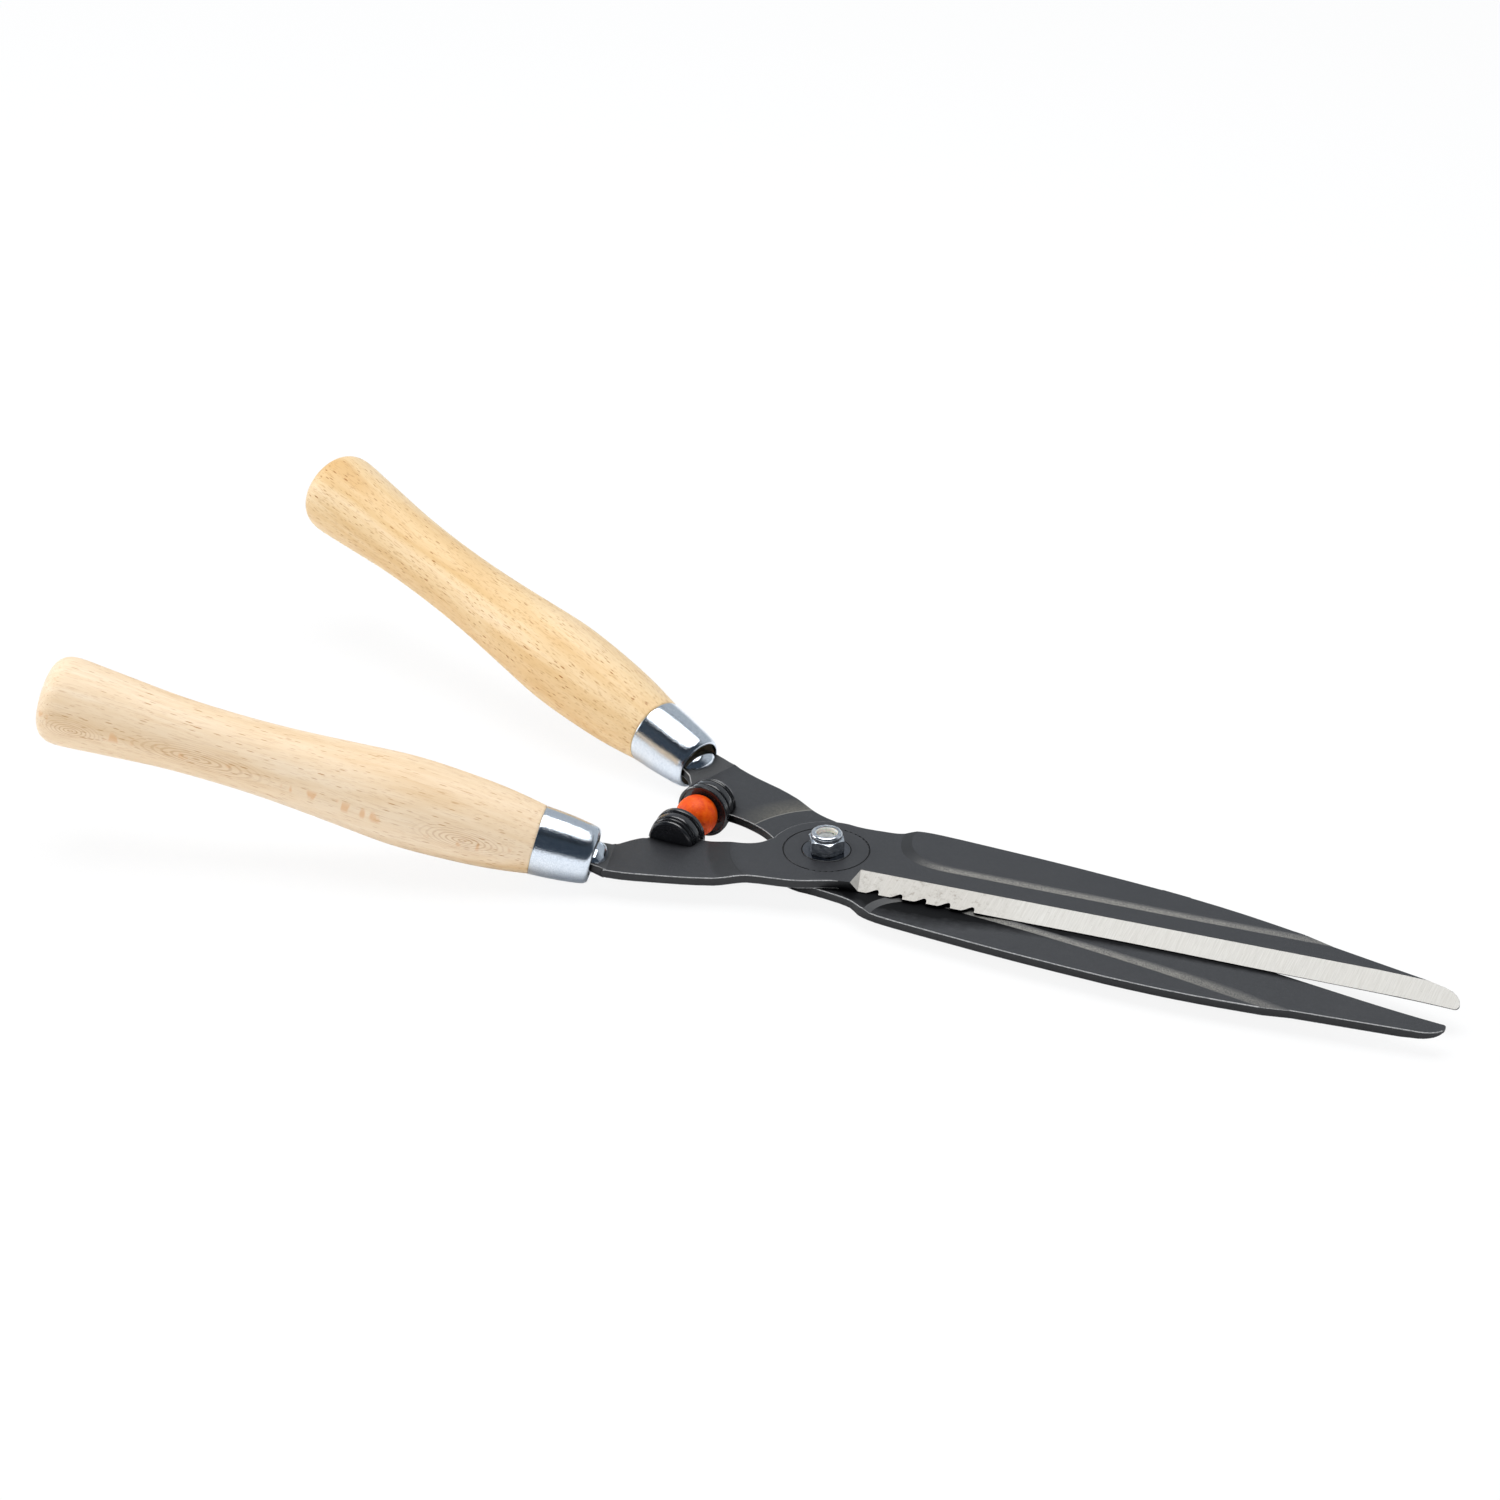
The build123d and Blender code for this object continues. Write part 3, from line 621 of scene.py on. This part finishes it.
# profiles are (station along the handle, radius)
GRIP_SEAT = [(-24.5, 0.0), (-24.5, 11.1), (-24.3, 11.3), (-8.0, 12.9)]     # inside the ferrule
GRIP = [
    (-8.0, 13.85), (0, 15.15), (12, 16.65), (24.6, 17.55), (38, 18.1), (49.3, 18.05),
    (61, 17.3), (73.9, 16.3), (98.5, 14.7), (123.1, 14.2), (147.8, 14.95), (160, 15.9),
    (172.4, 16.9), (180, 17.5), (184.2, 17.7), (188.0, 17.3), (191.0, 15.8), (193.2, 12.8),
    (194.3, 8.4), (194.7, 0.0),
]
FERRULE_OUTER = [(-8.0, 13.9), (-14, 13.55), (-20, 13.05), (-26, 12.35), (-30.0, 11.7),
                 (-31.8, 11.05), (-32.6, 10.3)]
FERRULE_INNER = [(-32.6, 9.75), (-31.5, 10.3), (-29.6, 10.9), (-26.0, 11.5), (-20.0, 12.2),
                 (-14.0, 12.65), (-8.0, 12.95)]
FERRULE_RIM = [(-8.42, 12.93), (-8.12, 13.02), (-8.0, 13.2), (-8.0, 13.6), (-8.1, 13.8),
               (-8.35, 13.88)]
RIM_STATION = -8.0
SHELL_LIMIT = -8.5               # the shell's curves stop here and the rim takes over
DRAWN_LENGTH = 24.6              # of the ferrule profiles
FERRULE_LENGTH = {"right": 23.1, "left": 25.6}


def handle_place(side):
    def place(station, x, y):
        return half_place(START + ALONG * station + ACROSS * x + UP * y, side)
    return place


def grip(side):
    curve = [(float(s), max(0.0, float(r))) for s, r in spline(GRIP, 240)]
    curve[0], curve[-1] = GRIP[0], GRIP[-1]
    name = side + "_grip_wood"
    mesh = lathe(name, GRIP_SEAT + curve, 112, handle_place(side), closed=False)
    stand_in(name, mesh, [MAT["beech_" + side]], side + "_handle_grip", side + "_half")


def ferrule(side):
    stretch = FERRULE_LENGTH[side] / DRAWN_LENGTH

    def shell(points, count):
        return [(RIM_STATION + (s - RIM_STATION) * stretch, r)
                for s, r in spline(points, count) if s < SHELL_LIMIT]

    profile = shell(FERRULE_OUTER, 60) + shell(FERRULE_INNER, 40) + FERRULE_RIM
    name = side + "_ferrule_shell"
    mesh = lathe(name, profile, 144, handle_place(side), closed=True)
    stand_in(name, mesh, [MAT["chrome"]], side + "_ferrule", side + "_half")


for side in SIDES:
    grip(side)
for side in SIDES:
    ferrule(side)


# ---------------------------------------------------------------- plates and hardware

BREAK_ANGLE = math.radians(24.0)       # edges sharper than this are broken
BROKEN_CREASE = math.radians(38)       # shading splits beside a broken edge above this
COAT, GROUND, WORN, SIDE, EDGE = range(5)      # material slots of a plate


def broken_edges(node, name, width, materials, body, classify=lambda face: 0,
                 stays_sharp=lambda edge: False, edge_slot=None, crease=38.0):
    """Clean a CAD surface and bevel its sharp edges by width (mm)."""
    bm = bmesh.new()
    bm.from_mesh(nodes[node].data)
    bmesh.ops.remove_doubles(bm, verts=bm.verts, dist=2e-6)
    bmesh.ops.dissolve_limit(bm, angle_limit=math.radians(0.6), use_dissolve_boundaries=False,
                             verts=bm.verts, edges=bm.edges)
    bm.normal_update()
    for face in bm.faces:
        face.material_index = classify(face)
    edges = [e for e in bm.edges
             if len(e.link_faces) == 2 and e.calc_face_angle(0) > BREAK_ANGLE
             and e.calc_length() > 1e-5 and not stays_sharp(e)]
    bevel = bmesh.ops.bevel(bm, geom=edges, offset=width * MM, offset_type="OFFSET", segments=2,
                            profile=0.5, affect="EDGES", clamp_overlap=edge_slot is None,
                            material=-1, loop_slide=True)
    # bevel faces take the painted edge highlight material
    if edge_slot is not None:
        for face in bevel["faces"]:
            if face.material_index in (COAT, SIDE):
                face.material_index = edge_slot
    bmesh.ops.triangulate(bm, faces=[f for f in bm.faces if len(f.verts) > 4])
    bm.normal_update()
    for face in bm.faces:
        face.smooth = True
    for edge in bm.edges:
        if len(edge.link_faces) != 2:
            continue
        slots = [f.material_index for f in edge.link_faces]
        beside_break = edge_slot is not None and edge_slot in slots
        limit = BROKEN_CREASE if beside_break else math.radians(crease)
        if edge.calc_face_angle(0) > limit:
            edge.smooth = False
    obj = stand_in(name, mesh_from(bm, name), materials, node, body)
    weighted = obj.modifiers.new("weighted", "WEIGHTED_NORMAL")
    weighted.keep_sharp = True
    weighted.weight = 80


# cutting edge in the shut frame of the right half: x, y
CUTTING_EDGE = [(21.0, -18.95), (33.0, -17.65), (48.8, -16.04), (98.2, -11.56),
                (147.6, -7.67), (197.0, -4.34), (231.6, -1.75), (255.3, -0.94)]


def behind_edge(x, y):
    """Distance in y from the cutting edge."""
    return y - float(np.interp(x, *zip(*CUTTING_EDGE)))


def plate_classifier(side):
    sign = SIDES[side]      # the lower plate's outer face looks down

    def classify(face):
        x, y, z = unplace(face.calc_center_median(), side)
        outward = face.normal.z * sign
        height = z * sign
        depth = behind_edge(x, y)
        if x > 15 and -1.5 < depth < 11.2 and 0.94 < outward < 0.968 and 0.0 < height < 3.7:
            return GROUND
        if 17 < x < 24 and 0.6 < outward < 0.8 and height < 3.65 and depth < 12:
            return GROUND       # steeper facet at the heel of the bevel
        if x > 20 and depth > 3:
            if 0.95 < outward < 0.992 and height > 3.55:
                return WORN
            if 0.95 < -outward < 0.992 and height < 0.85:
                return WORN
        # side faces take the darker, painted-shade copy of the coating
        return SIDE if abs(outward) < 0.35 else COAT
    return classify


def plate_edge_rule(side):
    """Only the rim between a broad face and the plate's side is broken."""
    def stays_sharp(edge):
        x, y, _ = unplace((edge.verts[0].co + edge.verts[1].co) / 2, side)
        if math.hypot(x, y) < 20 or edge.calc_length() < 0.25 * MM:
            return True
        slopes = [abs(face.normal.z) for face in edge.link_faces]
        if min(slopes) > 0.35 or max(slopes) < 0.85:
            return True
        inside_ferrule = x < -86
        at_cutting_edge = x > 15 and behind_edge(x, y) < 4.0
        return inside_ferrule or at_cutting_edge
    return stays_sharp


def washer_class(face):
    """Flat faces polished, the rim in the darker side material, painted shade."""
    return 0 if abs(face.normal.z) > 0.8 else 1


for side, node, coat, worn in (("right", "upper_blade", "coat", "worn_up"),
                               ("left", "lower_blade", "coat_low", "worn_low")):
    broken_edges(node, node + "_plate", 0.30,
                 [MAT[key] for key in (coat, "ground", worn, "side", "edge")],
                 side + "_half", classify=plate_classifier(side),
                 stays_sharp=plate_edge_rule(side), edge_slot=EDGE, crease=7.5)

broken_edges("pivot_nut", "pivot_nut_body", 0.12, [MAT["zinc"]], "left_half")
broken_edges("pivot_washer", "pivot_washer_disc", 0.06, [MAT["washer"], MAT["side"]],
             "left_half", classify=washer_class)
broken_edges("pivot_bolt", "pivot_bolt_body", 0.25, [MAT["zinc_warm"]],
             "left_half")
for side in SIDES:
    broken_edges(side + "_buffer_cup", side + "_cup_moulding", 0.10, [MAT["black"]],
                 side + "_half")

# CAD pieces kept as they are: node, material, slot
for node, material, slot in (("nut_locking_ring", "nylon", "nylon"),
                             ("buffer_ball", "rubber", "orange_rubber"),
                             ("right_tang_collar", "dome", "chrome"),
                             ("left_tang_collar", "dome", "chrome")):
    piece = nodes[node]
    piece.data.materials.clear()
    piece.data.materials.append(MAT[material])


# ---------------------------------------------------------------- floor

FLOOR_HALF = 7.0      # m
FLOOR_Z = -0.0002


def floor_paper():
    """Matt paper that looks almost pure white to the camera."""
    m = Material("floor_paper")
    m.set(Base_Color=(0.93, 0.935, 0.945), Roughness=0.85, Specular_IOR_Level=0.1)
    glow = m.add("Emission", {0: (1, 1, 1), 1: 1.0})
    seen = m.times(m.add("LightPath").outputs["Is Camera Ray"], 0.88)
    blend = m.add("MixShader", {0: seen, 1: m.shader.outputs[0], 2: glow.outputs[0]})
    m.feed(m.output.inputs[0], blend.outputs[0])
    return m.block


floor_mesh = bpy.data.meshes.new("floor")
corners = [(x * FLOOR_HALF, y * FLOOR_HALF, FLOOR_Z)
           for x, y in ((-1, -1), (1, -1), (1, 1), (-1, 1))]
floor_mesh.from_pydata(corners, [], [(0, 1, 2, 3)])
new_object("floor", floor_mesh, [floor_paper()])


# ---------------------------------------------------------------- world and lights

def studio_world():
    """Pale to the back (+y) and left (-x), dark to the front, with a dark band high up."""
    world = bpy.data.worlds.new("studio")
    bpy.context.scene.world = world
    g = Graph(world)
    x, y, z = g.split(g.add("TexCoord").outputs["Generated"])
    toward_back = g.plus(g.times(y, 0.45), g.times(x, -0.18))
    around = g.ramp(g.plus(toward_back, 0.5), (0.36, (0.045, 0.060, 0.080)),
                    (0.66, (0.52, 0.56, 0.60)), interpolation="EASE")
    white, dark = (1, 1, 1), (0.12, 0.13, 0.14)
    band = g.ramp(z, (0.74, white), (0.77, dark), (0.82, dark), (0.85, white),
                  interpolation="EASE")
    colour = g.mix(1.0, around, band, mode="MULTIPLY")
    background = g.add("Background", {0: colour, 1: 1.0})
    g.add("OutputWorld", {0: background.outputs[0]})


def softbox(name, place, target, size, power):
    light = bpy.data.lights.new(name, "AREA")
    light.shape = "RECTANGLE"
    light.size, light.size_y = size
    light.energy = power
    obj = bpy.data.objects.new(name, light)
    bpy.context.scene.collection.objects.link(obj)
    aim = (Vector(target) - Vector(place)).normalized()
    turn = aim.to_track_quat("-Z", "Y").to_matrix().to_4x4()
    obj.matrix_world = Matrix.Translation(Vector(place)) @ turn
    return obj


studio_world()
softbox("top_box", place=(-0.15, 0.20, 1.55), target=(-0.03, 0, 0), size=(1.5, 1.15), power=23)
front_fill = softbox("front_fill", place=(0.5, -1.9, 1.1), target=(0.0, 0, 0),
                     size=(1.6, 1.0), power=20)
front_fill.visible_glossy = False
softbox("left_fill", place=(-1.9, -0.5, 0.75), target=(-0.1, 0, 0), size=(0.9, 0.7), power=14)


# ---------------------------------------------------------------- camera

CAMERA_PLACE = (0.657160, -1.408972, 0.903763 + MATE_Z * MM)
AZIMUTH = 4.364170663541e-01
ELEVATION = 5.265662454838e-01
# small extra turn in the camera's right, up, forward axes: rotation vector, radians
EXTRA_TURN = np.array([2.331561437104e-02, 1.687325877365e-02, -2.078591221147e-02])
SENSOR_WIDTH = 36.0              # mm
FOCAL_LENGTH = 109.93544514348   # mm


def rotation(vector):
    """Rotation matrix of a rotation vector."""
    angle = math.sqrt(vector @ vector)
    x, y, z = vector / angle
    cross = np.array([[0, -z, y], [z, 0, -x], [-y, x, 0]])
    return np.eye(3) + math.sin(angle) * cross + (1 - math.cos(angle)) * cross @ cross


forward = -np.array([math.sin(AZIMUTH) * math.cos(ELEVATION),
                     -math.cos(AZIMUTH) * math.cos(ELEVATION), math.sin(ELEVATION)])
rightward = np.cross(forward, [0, 0, 1])
rightward /= np.linalg.norm(rightward)
upward = np.cross(rightward, forward)
axes = rotation(EXTRA_TURN) @ np.array([rightward, upward, forward])
camera_matrix = np.eye(4)
camera_matrix[:3, :3] = np.column_stack([axes[0], axes[1], -axes[2]])
camera_matrix[:3, 3] = CAMERA_PLACE

camera_data = bpy.data.cameras.new("camera")
camera = bpy.data.objects.new("camera", camera_data)
scene = bpy.context.scene
scene.collection.objects.link(camera)
camera_data.sensor_width = SENSOR_WIDTH
camera_data.lens = FOCAL_LENGTH
camera_data.clip_start, camera_data.clip_end = 0.05, 50
camera.matrix_world = Matrix(camera_matrix.tolist())
scene.camera = camera
scene.view_settings.view_transform = "Standard"
scene.view_settings.look = "None"
